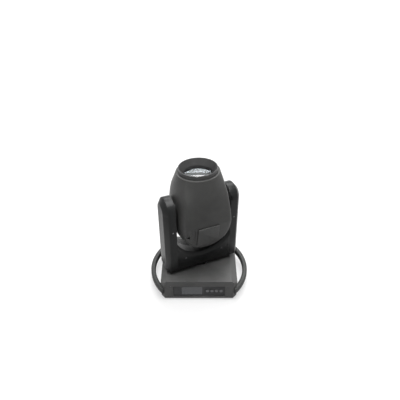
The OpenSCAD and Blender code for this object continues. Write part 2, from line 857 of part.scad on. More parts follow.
// Wheel about its own shaft, with round places on a circle; one place stays open
module wheel(y, z, shaft_top, place_r) {
    in_head() translate([0, y, z]) {
        difference() {
            cylinder(r = wheel_r, h = sheet_t);
            for (i = [0 : wheel_places - 1]) rotate([0, 0, -90 * sign(y) + i * 360 / wheel_places])
                translate([wheel_pcd_r, 0, -cut]) cylinder(r = place_r, h = sheet_t + 2 * cut);
        }
        translate([0, 0, -1]) cylinder(d = 3, h = shaft_top - z + 1);
    }
}
module colour_wheel() {
    color(plated) wheel(wheel_pcd_r, colour_z, lower_plate_z + sheet_t + 5, filter_r);
}
module gobo_wheel() {
    color(black) wheel(-wheel_pcd_r, gobo_z, upper_plate_z + sheet_t + 5, filter_r - 1);
}
module colour_filters() {
    tints = [[0.9, 0.1, 0.1], [0.95, 0.5, 0.1], [0.9, 0.85, 0.1],
        [0.1, 0.7, 0.2], [0.1, 0.5, 0.9], [0.6, 0.1, 0.8]];
    in_head() translate([0, wheel_pcd_r, colour_z]) for (i = [1 : wheel_places - 1])
        color(tints[(i - 1) % 6]) rotate([0, 0, -90 + i * 360 / wheel_places])
            translate([wheel_pcd_r, 0, 0.4]) cylinder(r = filter_r, h = 1.1);
}

module guide_rods() {
    color(steel) in_head() both_ways() translate([rod_x, 0, upper_plate_z])
        cylinder(d = rod_d, h = ring_z + ring_t - upper_plate_z);
}

module focus_motor() {
    color(black) in_head() translate([focus_xy, focus_xy, upper_plate_z + sheet_t]) difference() {
        cylinder(d = 20, h = 14);
        translate([0, 0, 8]) cylinder(d = screw_d + 2 * bearing_fit, h = 8);
    }
}

// Carriage of the focus lens, which runs on both rods
module focus_carriage() {
    arm_w = 9;
    arm_t = carriage_t - 2;
    boss_r = 6.5;
    nut_wall = 3.6;
    nut_reach = -focus_xy * sqrt(2) - nut_wall;
    color([0.3, 0.3, 0.32]) in_head() translate([0, 0, focus_z - carriage_t / 2]) difference() {
        union() {
            cylinder(r = focus_lens_r + 6, h = carriage_t);
            translate([0, 0, 1]) block(2 * (rod_x - nut_wall), arm_w, arm_t);
            both_ways() translate([rod_x, 0, 0]) cylinder(r = boss_r, h = carriage_t);
            translate([focus_xy, focus_xy, 0]) cylinder(r = boss_r, h = carriage_t);
            rotate([0, 0, -135]) translate([0, -arm_w / 2, 1]) cube([nut_reach, arm_w, arm_t]);
        }
        translate([0, 0, 2]) cylinder(r = focus_lens_r, h = carriage_t);
        translate([0, 0, -cut]) cylinder(r = focus_lens_r - 3, h = carriage_t);
        both_ways() translate([rod_x, 0, -cut])
            cylinder(d = rod_d + 2 * bearing_fit, h = carriage_t + 2 * cut);
        translate([focus_xy, focus_xy, -cut])
            cylinder(d = screw_d + 2 * bearing_fit, h = carriage_t + 2 * cut);
    }
}

module focus_lens() {
    color(glass_tint) in_head() translate([0, 0, focus_z - carriage_t / 2 + 2]) union() {
        cylinder(r = focus_lens_r, h = 3);
        translate([0, 0, 2]) cylinder(r1 = focus_lens_r - 1, r2 = focus_lens_r - 12, h = 3.6);
    }
}

module focus_screw() {
    low = upper_plate_z + sheet_t + 9;
    color(steel) in_head() translate([focus_xy, focus_xy, low])
        cylinder(d = screw_d, h = ring_z + ring_t - low);
}

module head_fan() {
    color(black) in_head() translate([0, 0, fan_z]) difference() {
        block(fan_w, fan_w, fan_h);
        translate([0, 0, 2]) cylinder(r = fan_w / 2 - 2, h = fan_h);
        difference() {
            translate([0, 0, -cut]) cylinder(r = fan_w / 2 - 2, h = 4);
            translate([0, 0, -2 * cut]) cylinder(r = 13, h = 6);
            for (a = [0 : 120 : 240]) rotate([0, 0, a + 30]) translate([0, -2, -2 * cut])
                cube([fan_w / 2, 4, 6]);
        }
        four_corners(fan_w / 2 - 5, fan_w / 2 - 5) translate([0, 0, -cut])
            cylinder(d = 4.3, h = fan_h + 2 * cut);
        translate([0, 0, -cut]) cylinder(d = 4 + 2 * bearing_fit, h = 6);
    }
}

module fan_rotor() {
    blade_r = fan_w / 2 - 3;
    color([0.25, 0.25, 0.26]) in_head() translate([0, 0, fan_z + 2 + play]) union() {
        cylinder(r = 12, h = 11);
        translate([0, 0, -2]) cylinder(d = 4, h = 4);
        intersection() {
            cylinder(r = blade_r, h = 11);
            for (a = [0 : 360 / 7 : 359]) rotate([0, 0, a]) translate([8, 0, 5.5]) rotate([38, 0, 0])
                translate([0, -7, -0.8]) cube([blade_r, 14, 1.6]);
        }
    }
}

base_tray();
base_cover();
front_panel();
display();
rear_panel();
power_inlet();
power_outlet();
data_inlet();
data_outlet();
handle_left();
handle_right();
feet();
power_supply();
control_board();
pan_bridge();
pan_bearing();
pan_motor();
pan_belt();
base_screws();
button(0);  // button_menu
button(1);  // button_up
button(2);  // button_down
button(3);  // button_enter
pan_pinion();
pan_spindle();
pan_pulley();
yoke_frame();
arm_cover_left();
arm_cover_right();
yoke_cover_front();
yoke_cover_rear();
tilt_motor();
tilt_belt();
tilt_bearings();
yoke_screws();
tilt_pinion();
head_shell_front();
head_shell_rear();
bezel();
front_lens();
cover_plate();
head_chassis();
trunnions();
tilt_pulley();
heatsink();
light_engine();
condenser();
optics_frame();
colour_motor();
gobo_motor();
focus_motor();
guide_rods();
head_fan();
focus_lens();
fan_rotor();
colour_wheel();
colour_filters();
gobo_wheel();
focus_carriage();
focus_screw();
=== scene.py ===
"""Looks of the moving head light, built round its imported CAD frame."""

import json
import math

import bmesh
import bpy
from mathutils import Matrix, Vector


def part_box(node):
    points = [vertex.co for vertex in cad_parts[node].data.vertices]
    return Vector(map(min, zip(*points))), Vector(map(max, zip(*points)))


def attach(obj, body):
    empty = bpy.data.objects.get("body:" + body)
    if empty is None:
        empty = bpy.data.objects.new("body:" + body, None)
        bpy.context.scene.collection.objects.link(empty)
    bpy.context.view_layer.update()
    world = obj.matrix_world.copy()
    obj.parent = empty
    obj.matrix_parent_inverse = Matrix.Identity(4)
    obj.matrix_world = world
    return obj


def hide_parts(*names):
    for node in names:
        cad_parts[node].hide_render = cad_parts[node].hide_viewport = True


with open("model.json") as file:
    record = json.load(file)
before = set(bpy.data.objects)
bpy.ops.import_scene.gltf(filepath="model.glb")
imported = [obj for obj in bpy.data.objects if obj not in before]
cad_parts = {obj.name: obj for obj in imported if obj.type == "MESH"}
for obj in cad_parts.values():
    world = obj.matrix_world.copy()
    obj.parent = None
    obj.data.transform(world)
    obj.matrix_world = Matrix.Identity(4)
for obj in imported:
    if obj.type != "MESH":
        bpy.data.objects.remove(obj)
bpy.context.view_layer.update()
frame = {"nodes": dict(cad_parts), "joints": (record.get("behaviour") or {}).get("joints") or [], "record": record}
MM = 0.001


# ---------------------------------------------------------------- places, from the frame

def joint(name):
    """The record's joint of that name."""
    return next(j for j in frame["joints"] if j["name"] == name)


tilt_axis = Vector(joint("tilt")["axis"]).normalized()
tilt_centre = Vector(joint("tilt")["pos_m"])
yoke_turn = math.atan2(tilt_axis.y, tilt_axis.x)
TO_YOKE = Matrix.Rotation(yoke_turn, 4, "Z")
head_up = Vector(joint("focus")["axis"]).normalized()
head_turn = Matrix((tilt_axis, head_up.cross(tilt_axis), head_up)).transposed().to_4x4()
TO_HEAD = Matrix.Translation(tilt_centre) @ head_turn


def local_size(node, matrix):
    """Lowest and highest corner of a CAD node in the axes of matrix."""
    back = matrix.inverted()
    points = [back @ v.co for v in frame["nodes"][node].data.vertices]
    low = Vector(min(p[i] for p in points) for i in range(3))
    high = Vector(max(p[i] for p in points) for i in range(3))
    return low, high


# ---------------------------------------------------------------- mesh helpers

def new_object(name, mesh):
    """Links a mesh to the scene as a piece."""
    piece = bpy.data.objects.new(name, mesh)
    bpy.context.scene.collection.objects.link(piece)
    return piece


def mesh_piece(name, points, faces, matrix=None):
    """A piece from points in metres and faces, placed by matrix."""
    mesh = bpy.data.meshes.new(name)
    mesh.from_pydata([tuple(p) for p in points], [], faces)
    if matrix:
        mesh.transform(matrix)
    mesh.validate()
    bm = bmesh.new()
    bm.from_mesh(mesh)
    bmesh.ops.recalc_face_normals(bm, faces=bm.faces)
    bm.to_mesh(mesh)
    bm.free()
    return new_object(name, mesh)


def bake(piece):
    """Applies a piece's modifiers to its mesh."""
    graph = bpy.context.evaluated_depsgraph_get()
    mesh = bpy.data.meshes.new_from_object(piece.evaluated_get(graph))
    piece.modifiers.clear()
    piece.data = mesh
    return piece


def smooth(piece, angle=32):
    """Smooth shading, with edges sharper than angle kept sharp."""
    mesh = piece.data
    for polygon in mesh.polygons:
        polygon.use_smooth = True
    mesh.set_sharp_from_angle(angle=math.radians(angle))
    return piece


def bevel(piece, width, segments=3, angle=28, keep=None):
    """Rounds the edges sharper than angle, width in millimetres, except where keep says so."""
    bm = bmesh.new()
    bm.from_mesh(piece.data)
    weight = bm.edges.layers.float.new("bevel_weight_edge")
    for edge in bm.edges:
        sharp = len(edge.link_faces) == 2 and edge.calc_face_angle(0.0) > math.radians(angle)
        if sharp and not (keep and keep(edge.verts[0].co, edge.verts[1].co)):
            edge[weight] = 1.0
    bm.to_mesh(piece.data)
    bm.free()
    rounding = piece.modifiers.new("rounding", "BEVEL")
    rounding.width = width * MM
    rounding.segments = segments
    rounding.limit_method = "WEIGHT"
    rounding.use_clamp_overlap = True
    rounding.harden_normals = True
    bake(piece)
    for polygon in piece.data.polygons:
        polygon.use_smooth = True
    return piece


def cut(piece, cutters):
    """Takes throwaway cutters out of a piece."""
    for cutter in cutters:
        knife = piece.modifiers.new("cut", "BOOLEAN")
        knife.object = cutter
        knife.operation = "DIFFERENCE"
        knife.solver = "MANIFOLD"
    bake(piece)
    for cutter in cutters:
        bpy.data.objects.remove(cutter)
    return piece


def loft(name, rings, matrix=None):
    """Skin over rings of equal count, capped at both ends."""
    count = len(rings[0])
    points = [p for ring in rings for p in ring]
    faces = []
    for r in range(len(rings) - 1):
        for i in range(count):
            j = (i + 1) % count
            faces.append((r * count + i, r * count + j, (r + 1) * count + j, (r + 1) * count + i))
    faces.append(tuple(range(count))[::-1])
    faces.append(tuple((len(rings) - 1) * count + i for i in range(count)))
    return mesh_piece(name, points, faces, matrix)


def lathe(name, profile, matrix=None, steps=128):
    """Turns a closed profile of (radius, height) in millimetres about Z."""
    points = []
    for r, z in profile:
        for i in range(steps):
            a = 2 * math.pi * i / steps
            points.append((r * MM * math.cos(a), r * MM * math.sin(a), z * MM))
    faces = []
    rows = len(profile)
    for k in range(rows):
        n = (k + 1) % rows
        for i in range(steps):
            j = (i + 1) % steps
            faces.append((k * steps + i, k * steps + j, n * steps + j, n * steps + i))
    return mesh_piece(name, points, faces, matrix)


def box_piece(name, low, high, matrix=None):
    """Box between two corners in millimetres."""
    x0, y0, z0 = (v * MM for v in low)
    x1, y1, z1 = (v * MM for v in high)
    points = [(x, y, z) for z in (z0, z1) for y in (y0, y1) for x in (x0, x1)]
    faces = [(0, 1, 3, 2), (4, 6, 7, 5), (0, 4, 5, 1), (2, 3, 7, 6), (0, 2, 6, 4), (1, 5, 7, 3)]
    return mesh_piece(name, points, faces, matrix)


def rod_piece(name, centre, axis, radius, length, steps=48, matrix=None):
    """Cylinder about centre along axis, in millimetres."""
    turn = Vector(axis).to_track_quat("Z", "Y").to_matrix().to_4x4()
    place = Matrix.Translation(Vector(centre) * MM) @ turn
    if matrix:
        place = matrix @ place
    angles = [2 * math.pi * i / steps for i in range(steps)]
    ring = [(radius * MM * math.cos(a), radius * MM * math.sin(a)) for a in angles]
    rings = [[(x, y, z * length * MM) for x, y in ring] for z in (-0.5, 0.5)]
    return loft(name, rings, place)


def soften(node, name, width, segments=3, angle=28, keep=None):
    """A piece that repeats a CAD node's shape with its edges rounded, and stands for it."""
    source = frame["nodes"][node]
    bm = bmesh.new()
    bm.from_mesh(source.data)
    bmesh.ops.remove_doubles(bm, verts=bm.verts, dist=2e-6)
    bmesh.ops.dissolve_limit(bm, angle_limit=math.radians(0.6), verts=bm.verts, edges=bm.edges)
    mesh = bpy.data.meshes.new(name)
    bm.to_mesh(mesh)
    bm.free()
    piece = new_object(name, mesh)
    bevel(piece, width, segments, angle, keep)
    return piece


def finish_piece(piece, body, slot_name, coat, *nodes):
    """Gives a piece its material, its body and the CAD nodes it stands for, which it hides; slot_name is not used.
    """
    piece.data.materials.clear()
    piece.data.materials.append(coat)
    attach(piece, body)
    if nodes:
        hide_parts(*nodes)
    return piece


# ---------------------------------------------------------------- materials

def material(name, colour, rough, metal=0.0):
    """A principled material and the nodes that the recipes below link up."""
    mat = bpy.data.materials.new(name)
    mat.use_nodes = True
    nodes = mat.node_tree.nodes
    shader = nodes["Principled BSDF"]
    shader.inputs["Base Color"].default_value = (*colour, 1)
    shader.inputs["Roughness"].default_value = rough
    shader.inputs["Metallic"].default_value = metal
    return mat, nodes, mat.node_tree.links, shader


def add(nodes, kind, **settings):
    """Adds a node, setting named inputs or properties."""
    node = nodes.new(kind)
    for key, value in settings.items():
        if key in node.inputs:
            node.inputs[key].default_value = value
        else:
            setattr(node, key, value)
    return node


def noise(nodes, links, coords, scale, detail=4.0, rough=0.55):
    """A noise texture in the object's own metres."""
    node = add(nodes, "ShaderNodeTexNoise")
    node.inputs["Scale"].default_value = scale
    node.inputs["Detail"].default_value = detail
    node.inputs["Roughness"].default_value = rough
    links.new(coords.outputs["Object"], node.inputs["Vector"])
    return node


def ramp(nodes, links, source, low, high, at=(0.3, 0.7)):
    """Maps a value to a blend of two colours."""
    node = add(nodes, "ShaderNodeValToRGB")
    node.color_ramp.elements[0].position = at[0]
    node.color_ramp.elements[1].position = at[1]
    node.color_ramp.elements[0].color = (*low, 1)
    node.color_ramp.elements[1].color = (*high, 1)
    links.new(source, node.inputs["Fac"])
    return node


def spread(nodes, links, source, low, high):
    """Maps the middle half of 0..1 to a range."""
    node = add(nodes, "ShaderNodeMapRange")
    node.inputs["From Min"].default_value = 0.25
    node.inputs["From Max"].default_value = 0.75
    node.inputs["To Min"].default_value = low
    node.inputs["To Max"].default_value = high
    links.new(source, node.inputs["Value"])
    return node


def bump(nodes, links, source, shader, strength, distance):
    """Bump from a height, distance in millimetres."""
    node = add(nodes, "ShaderNodeBump")
    node.inputs["Strength"].default_value = strength
    node.inputs["Distance"].default_value = distance * MM
    links.new(source, node.inputs["Height"])
    links.new(node.outputs["Normal"], shader.inputs["Normal"])
    return node


def moulded(name, colour, rough=0.52, grain=900.0, depth=0.05, wear_and_highlight=0.5, sheen=0.28):
    """Moulded plastic: fine spark-eroded grain, faint dust, and edges painted lighter: partly rubbed wear, partly
    painted highlight.
    """
    mat, nodes, links, shader = material(name, colour, rough)
    coords = add(nodes, "ShaderNodeTexCoord")
    fine = noise(nodes, links, coords, grain, 3.0)
    broad = noise(nodes, links, coords, 9.0, 5.0, 0.6)
    dust = noise(nodes, links, coords, 160.0, 6.0, 0.7)
    light = tuple(min(1, c * 1.35 + 0.004) for c in colour)
    dark = tuple(c * 0.82 for c in colour)
    body = ramp(nodes, links, broad.outputs["Fac"], dark, light, (0.28, 0.72))
    # Edges painted lighter where pointiness is high, in patches from the dust noise: partly rubbed wear, partly
    # painted highlight on the bevels.
    geometry = add(nodes, "ShaderNodeNewGeometry")
    edge = add(nodes, "ShaderNodeMapRange")
    edge.inputs["From Min"].default_value = 0.53
    edge.inputs["From Max"].default_value = 0.62
    links.new(geometry.outputs["Pointiness"], edge.inputs["Value"])
    edge_wear_and_highlight = add(nodes, "ShaderNodeMath", operation="MULTIPLY")
    links.new(edge.outputs["Result"], edge_wear_and_highlight.inputs[0])
    patchy_wear_and_highlight = spread(nodes, links, dust.outputs["Fac"], 0.0, wear_and_highlight)
    links.new(patchy_wear_and_highlight.outputs["Result"], edge_wear_and_highlight.inputs[1])
    mix = add(nodes, "ShaderNodeMix", data_type="RGBA")
    mix.inputs[7].default_value = (*tuple(min(1, c * 2.6 + 0.02) for c in colour), 1)
    links.new(edge_wear_and_highlight.outputs["Value"], mix.inputs[0])
    links.new(body.outputs["Color"], mix.inputs[6])
    links.new(mix.outputs[2], shader.inputs["Base Color"])
    gloss = spread(nodes, links, dust.outputs["Fac"], rough - 0.06, rough + 0.08)
    links.new(gloss.outputs["Result"], shader.inputs["Roughness"])
    bump(nodes, links, fine.outputs["Fac"], shader, 0.35, depth)
    shader.inputs["Specular IOR Level"].default_value = sheen
    return mat


def powder_coat(name, colour, rough=0.5):
    """Powder coat: orange peel with a little unevenness."""
    mat, nodes, links, shader = material(name, colour, rough)
    coords = add(nodes, "ShaderNodeTexCoord")
    peel = noise(nodes, links, coords, 520.0, 2.0)
    broad = noise(nodes, links, coords, 14.0, 4.0)
    dark, light = (tuple(c * k for c in colour) for k in (0.8, 1.3))
    body = ramp(nodes, links, broad.outputs["Fac"], dark, light)
    links.new(body.outputs["Color"], shader.inputs["Base Color"])
    gloss = spread(nodes, links, peel.outputs["Fac"], rough - 0.08, rough + 0.08)
    links.new(gloss.outputs["Result"], shader.inputs["Roughness"])
    bump(nodes, links, peel.outputs["Fac"], shader, 0.4, 0.08)
    return mat


def machined(name, colour, rough=0.32, brush=(30.0, 30.0, 1200.0)):
    """Bare or plated metal with fine brush lines and handling marks."""
    mat, nodes, links, shader = material(name, colour, rough, 1.0)
    coords = add(nodes, "ShaderNodeTexCoord")
    stretch = add(nodes, "ShaderNodeMapping")
    stretch.inputs["Scale"].default_value = brush
    links.new(coords.outputs["Object"], stretch.inputs["Vector"])
    lines = add(nodes, "ShaderNodeTexNoise")
    lines.inputs["Scale"].default_value = 1.0
    lines.inputs["Detail"].default_value = 4.0
    links.new(stretch.outputs["Vector"], lines.inputs["Vector"])
    smudge = noise(nodes, links, coords, 60.0, 5.0)
    body = ramp(nodes, links, smudge.outputs["Fac"], tuple(c * 0.82 for c in colour), colour)
    links.new(body.outputs["Color"], shader.inputs["Base Color"])
    gloss = spread(nodes, links, lines.outputs["Fac"], rough - 0.1, rough + 0.12)
    links.new(gloss.outputs["Result"], shader.inputs["Roughness"])
    bump(nodes, links, lines.outputs["Fac"], shader, 0.25, 0.02)
    return mat


def rubbery(name, colour):
    """Rubber: matt, slightly chalky and pitted."""
    mat, nodes, links, shader = material(name, colour, 0.8)
    coords = add(nodes, "ShaderNodeTexCoord")
    pits = noise(nodes, links, coords, 700.0, 4.0, 0.7)
    chalk = noise(nodes, links, coords, 40.0, 5.0)
    body = ramp(nodes, links, chalk.outputs["Fac"], colour, tuple(c * 1.8 + 0.01 for c in colour))
    links.new(body.outputs["Color"], shader.inputs["Base Color"])
    bump(nodes, links, pits.outputs["Fac"], shader, 0.5, 0.08)
    return mat


def circuit(name, colour):
    """Solder mask with paler copper tracks under it."""
    mat, nodes, links, shader = material(name, colour, 0.3)
    coords = add(nodes, "ShaderNodeTexCoord")
    tracks = add(nodes, "ShaderNodeTexVoronoi", feature="DISTANCE_TO_EDGE", distance="CHEBYCHEV")
    tracks.inputs["Scale"].default_value = 160.0
    links.new(coords.outputs["Object"], tracks.inputs["Vector"])
    copper = tuple(c * 2.0 for c in colour)
    body = ramp(nodes, links, tracks.outputs["Distance"], copper, colour, (0.04, 0.09))
    links.new(body.outputs["Color"], shader.inputs["Base Color"])
    bump(nodes, links, tracks.outputs["Distance"], shader, 0.2, 0.03)
    return mat


def optical_glass(name, tint, rough=0.02):
    """Coated lens glass with faint wipe marks."""
    mat, nodes, links, shader = material(name, tint, rough)
    shader.inputs["Transmission Weight"].default_value = 1.0
    shader.inputs["IOR"].default_value = 1.52
    shader.inputs["Coat Weight"].default_value = 0.3
    coords = add(nodes, "ShaderNodeTexCoord")
    wipes = noise(nodes, links, coords, 45.0, 6.0, 0.65)
    gloss = spread(nodes, links, wipes.outputs["Fac"], rough, rough + 0.05)
    links.new(gloss.outputs["Result"], shader.inputs["Roughness"])
    body = ramp(nodes, links, wipes.outputs["Fac"], tint, tuple(min(1, c * 1.06) for c in tint))
    links.new(body.outputs["Color"], shader.inputs["Base Color"])
    return mat


def screen_glass(name, colour):
    """Dark display behind a glossy window, with a faint pixel grid."""
    mat, nodes, links, shader = material(name, colour, 0.12)
    coords = add(nodes, "ShaderNodeTexCoord")
    grid = add(nodes, "ShaderNodeTexVoronoi", feature="DISTANCE_TO_EDGE", distance="CHEBYCHEV")
    grid.inputs["Scale"].default_value = 1400.0
    grid.inputs["Randomness"].default_value = 0.0
    links.new(coords.outputs["Object"], grid.inputs["Vector"])
    lit = tuple(c * 1.7 + 0.004 for c in colour)
    body = ramp(nodes, links, grid.outputs["Distance"], colour, lit, (0.1, 0.3))
    links.new(body.outputs["Color"], shader.inputs["Base Color"])
    shader.inputs["Coat Weight"].default_value = 0.6
    smear = noise(nodes, links, coords, 90.0, 4.0)
    gloss = spread(nodes, links, smear.outputs["Fac"], 0.08, 0.2)
    links.new(gloss.outputs["Result"], shader.inputs["Roughness"])
    return mat


shell_plastic = moulded("shell_plastic", (0.036, 0.036, 0.035), 0.46, wear_and_highlight=0.1, sheen=0.24)
yoke_plastic = moulded("yoke_plastic", (0.006, 0.0065, 0.0065), 0.33, sheen=0.17)
base_plastic = moulded("base_plastic", (0.06, 0.06, 0.059), 0.5)
handle_plastic = moulded("handle_plastic", (0.026, 0.027, 0.026), 0.55, 700.0, 0.08)
panel_plastic = moulded("panel_plastic", (0.02, 0.02, 0.021), 0.42)
bezel_plastic = moulded("bezel_plastic", (0.026, 0.026, 0.026), 0.38, 1200.0, 0.03)
blade_plastic = moulded("blade_plastic", (0.03, 0.03, 0.031), 0.4)
tray_coat = powder_coat("tray_coat", (0.03, 0.03, 0.031))
motor_coat = powder_coat("motor_coat", (0.03, 0.03, 0.032), 0.38)
bright_steel = machined("bright_steel", (0.6, 0.6, 0.61))
dark_screw = machined("dark_screw", (0.07, 0.07, 0.072), 0.38)
zinc_plate = machined("zinc_plate", (0.5, 0.49, 0.46), 0.38)
alloy = machined("alloy", (0.62, 0.62, 0.63), 0.34)
nickel = machined("nickel", (0.55, 0.54, 0.52), 0.24)
rubber = rubbery("rubber", (0.018, 0.018, 0.018))
board = circuit("board", (0.012, 0.09, 0.045))
lens_glass = optical_glass("lens_glass", (0.86, 0.92, 0.97))
inner_glass = optical_glass("inner_glass", (0.9, 0.93, 0.95))
filter_glass = optical_glass("filter_glass", (0.75, 0.35, 0.4))
screen = screen_glass("screen", (0.012, 0.016, 0.024))
button_grey = moulded("button_grey", (0.13, 0.13, 0.135), 0.5, 800.0, 0.03)
socket_blue = moulded("socket_blue", (0.03, 0.09, 0.34), 0.4)
socket_grey = moulded("socket_grey", (0.3, 0.3, 0.31), 0.45)

CARRIED = {
    "moulded_black": blade_plastic, "painted_steel": tray_coat, "rubber": rubber,
    "bright_steel": bright_steel, "plated_steel": zinc_plate, "alloy": alloy,
    "motor_black": motor_coat, "board": board, "lens_glass": inner_glass, "screen": screen,
    "filter_glass": filter_glass, "button_grey": button_grey, "socket_blue": socket_blue,
    "socket_grey": socket_grey, "socket_metal": nickel,
}


def dress_cad():
    """Every CAD node gets its slot's material; replaced nodes are hidden later."""
    slots = {s["node"]: s["material_slot"] for s in frame["record"]["subparts"]}
    for name, piece in frame["nodes"].items():
        piece.data.materials.clear()
        piece.data.materials.append(CARRIED[slots[name]])
        smooth(piece, 30)
    for name in ("base_screws", "yoke_screws"):
        frame["nodes"][name].data.materials[0] = dark_screw


# ---------------------------------------------------------------- head

head_low, head_high = local_size("head_shell_front", TO_HEAD)
HEAD_W = head_high.x / MM
HEAD_D = -head_low.y / MM
HEAD_TOP = head_high.z / MM
TAIL_R = HEAD_W
TAIL_C = head_low.z / MM + TAIL_R * math.sin(math.radians(72))
SEAT_Z = TAIL_C + 9
SEAT_SLOPE = 0.22
MOUTH_R = 62.0
WALL = 3.0
# Height, half width, half depth, then the corner between front and side, millimetres
HEAD_KEYS = [
    (SEAT_Z, HEAD_W, HEAD_D, HEAD_W - 12, HEAD_D - 3.0),
    (-12.0, HEAD_W - 0.1, HEAD_D - 0.2, HEAD_W - 13.5, HEAD_D - 4.5),
    (14.0, HEAD_W - 1.0, HEAD_D - 1.6, 65.0, HEAD_D - 7.8),
    (38.0, HEAD_W - 3.5, HEAD_D - 3.6, 62.5, HEAD_D - 13.2),
    (60.0, HEAD_W - 8.0, HEAD_D - 6.8, 60.0, HEAD_D - 22.5),
    (80.0, HEAD_W - 13.0, HEAD_D - 10.4, 57.5, HEAD_D - 34.5),
    (HEAD_TOP, MOUTH_R, MOUTH_R, 54.0, 30.46),  # on the mouth's circle
]
TAIL_POWER = 2.3
FRONT_STEPS = 18
SIDE_STEPS = 22


def head_section(z):
    """Half width, half depth and corner place of the head at height z."""
    if z >= SEAT_Z:
        last = len(HEAD_KEYS) - 1
        k = next((i for i in range(last) if z <= HEAD_KEYS[i + 1][0] + 1e-6), last - 1)
        low, high = HEAD_KEYS[k], HEAD_KEYS[k + 1]
        before, after = HEAD_KEYS[max(0, k - 1)], HEAD_KEYS[min(last, k + 2)]
        span = high[0] - low[0]
        f = min(1.0, (z - low[0]) / span)
        section = []
        for i in (1, 2, 3, 4):
            rise_low = (high[i] - before[i]) / (high[0] - before[0]) * span if k else 0.0
            rise_high = (after[i] - low[i]) / (after[0] - low[0]) * span
            section.append((2 * f ** 3 - 3 * f ** 2 + 1) * low[i] + (f ** 3 - 2 * f ** 2 + f) * rise_low
                           + (3 * f ** 2 - 2 * f ** 3) * high[i] + (f ** 3 - f ** 2) * rise_high)
        return tuple(section)
    drop = min(1.0, max(0.0, (TAIL_C - z) / TAIL_R))
    a = TAIL_R * (1 - drop ** TAIL_POWER) ** (1 / TAIL_POWER)
    b = HEAD_D - SEAT_SLOPE * (SEAT_Z - z) - 7 * drop ** 6
    return a, b, a - min(12.0, 0.25 * a), b - min(3.0, 0.05 * a)


def arc_points(end, apex, steps):
    """Points from (0, apex) to end along the circle that is level at (0, apex)."""
    x, y = end
    sag = max(apex - y, 1e-3)
    radius = (x * x + sag * sag) / (2 * sag)
    half = math.asin(min(1.0, x / radius))
    return [(radius * math.sin(half * i / steps), apex - radius + radius * math.cos(half * i / steps))
            for i in range(steps + 1)]


def head_ring(section, inset, z):
    """Plan of the head at height z: bowed front and sides with eased corners."""
    a, b, f, g = (v - inset for v in section)
    front = arc_points((f, g), b, FRONT_STEPS)
    side = [(y, x) for x, y in arc_points((g, f), a, SIDE_STEPS)]
    quarter = front + side[::-1][1:]
    half = quarter + [(x, -y) for x, y in quarter[::-1][1:]]
    ring = half + [(-x, y) for x, y in half[::-1][1:-1]]
    count = len(ring)
    for _ in range(2):
        ring = [tuple(sum(ring[(i + k) % count][c] for k in (-1, 0, 1)) / 3 for c in (0, 1))
                for i in range(count)]
    return [(x * MM, y * MM, z * MM) for x, y in ring]


def head_loft(name, inset):
    """The head's outline as a closed solid, shrunk by inset."""
    angles = (77.5, 76.3, 74.5, 72, 68, 63, 56, 47, 38, 29, 20, 11, 4)
    levels = [TAIL_C - (TAIL_R - inset) * math.sin(math.radians(a)) for a in angles]
    levels += [SEAT_Z - 4, SEAT_Z - 1, SEAT_Z + 1, SEAT_Z + 6]
    top = HEAD_TOP - inset
    levels += [SEAT_Z + 6 + (top - SEAT_Z - 6) * i / 22 for i in range(1, 22)]
    levels += [top - 1.6, top - 0.5, top]
    rings = []
    for z in levels:
        source = min(z, HEAD_TOP)
        if z < TAIL_C:
            source = TAIL_C - (TAIL_C - z) * TAIL_R / (TAIL_R - inset)
        eased = inset + (0.5 if z == top else 0.0)
        rings.append(head_ring(head_section(source), eased, z))
    return loft(name, rings, TO_HEAD)


# Axes on the sloping lower front: x across, z up the slope, y into the head
SLOPE = (TO_HEAD @ Matrix.Translation((0, -HEAD_D * MM, SEAT_Z * MM))
         @ Matrix.Rotation(math.atan(SEAT_SLOPE), 4, "X"))
PLATE_X = -3.0
PLATE_W = 65.0
PLATE_H = 70.0


def on_head_seam(first, last):
    """True for an edge on the joint between the two head shells."""
    back = TO_HEAD.inverted()
    return all(abs((back @ p).y) < 0.2 * MM for p in (first, last))


def head_shells():
    """Front and rear head shells with their openings."""
    bezel_r = local_size("bezel", TO_HEAD)[1].x / MM
    hub_r = 16.6
    half_gap = 0.08
    vent_top = TAIL_C - TAIL_R + 18
    for side, node in ((-1, "head_shell_front"), (1, "head_shell_rear")):
        shell = head_loft("skin_" + node, 0.0)
        cutters = [head_loft("hollow", WALL)]
        cutters.append(rod_piece("mouth", (0, 0, HEAD_TOP), (0, 0, 1), bezel_r + 0.3, 90, 128, TO_HEAD))
        cutters.append(rod_piece("hub", (0, 0, 0), (1, 0, 0), hub_r, 2.6 * HEAD_W, 64, TO_HEAD))
        if side < 0:
            cutters.append(box_piece("half", (-120, -half_gap, -160), (120, 120, 140), TO_HEAD))
        else:
            cutters.append(box_piece("half", (-120, -120, -160), (120, half_gap, 140), TO_HEAD))
        for i in range(-3, 4):
            y0, y1 = sorted((side * 10, side * 46))
            cutters.append(box_piece("vent", (i * 9 - 2, y0, -150), (i * 9 + 2, y1, vent_top), TO_HEAD))
        if side < 0:
            slot_points = [(-70, -26.5), (-58, -33), (-58, -22)]
            rings = [[(x * MM, y * MM, z * MM) for x, z in slot_points] for y in (-10, 10)]
            cutters.append(loft("slot", rings, SLOPE))
            for x in (-53, -44):
                cutters.append(box_piece("groove", (x, -2, -52), (x + 1.8, 2.2, 0), SLOPE))
        else:
            for i in range(-4, 5):
                z = SEAT_Z - 20 + i * 8
                low, high = (-40, HEAD_D - 37, z), (40, HEAD_D + 13, z + 3.5)
                cutters.append(box_piece("louvre", low, high, TO_HEAD))
        cut(shell, cutters)
        bevel(shell, 0.5, 2, 40, on_head_seam)
        smooth(shell, 40)
        finish_piece(shell, "head", "moulded_black", shell_plastic, node)


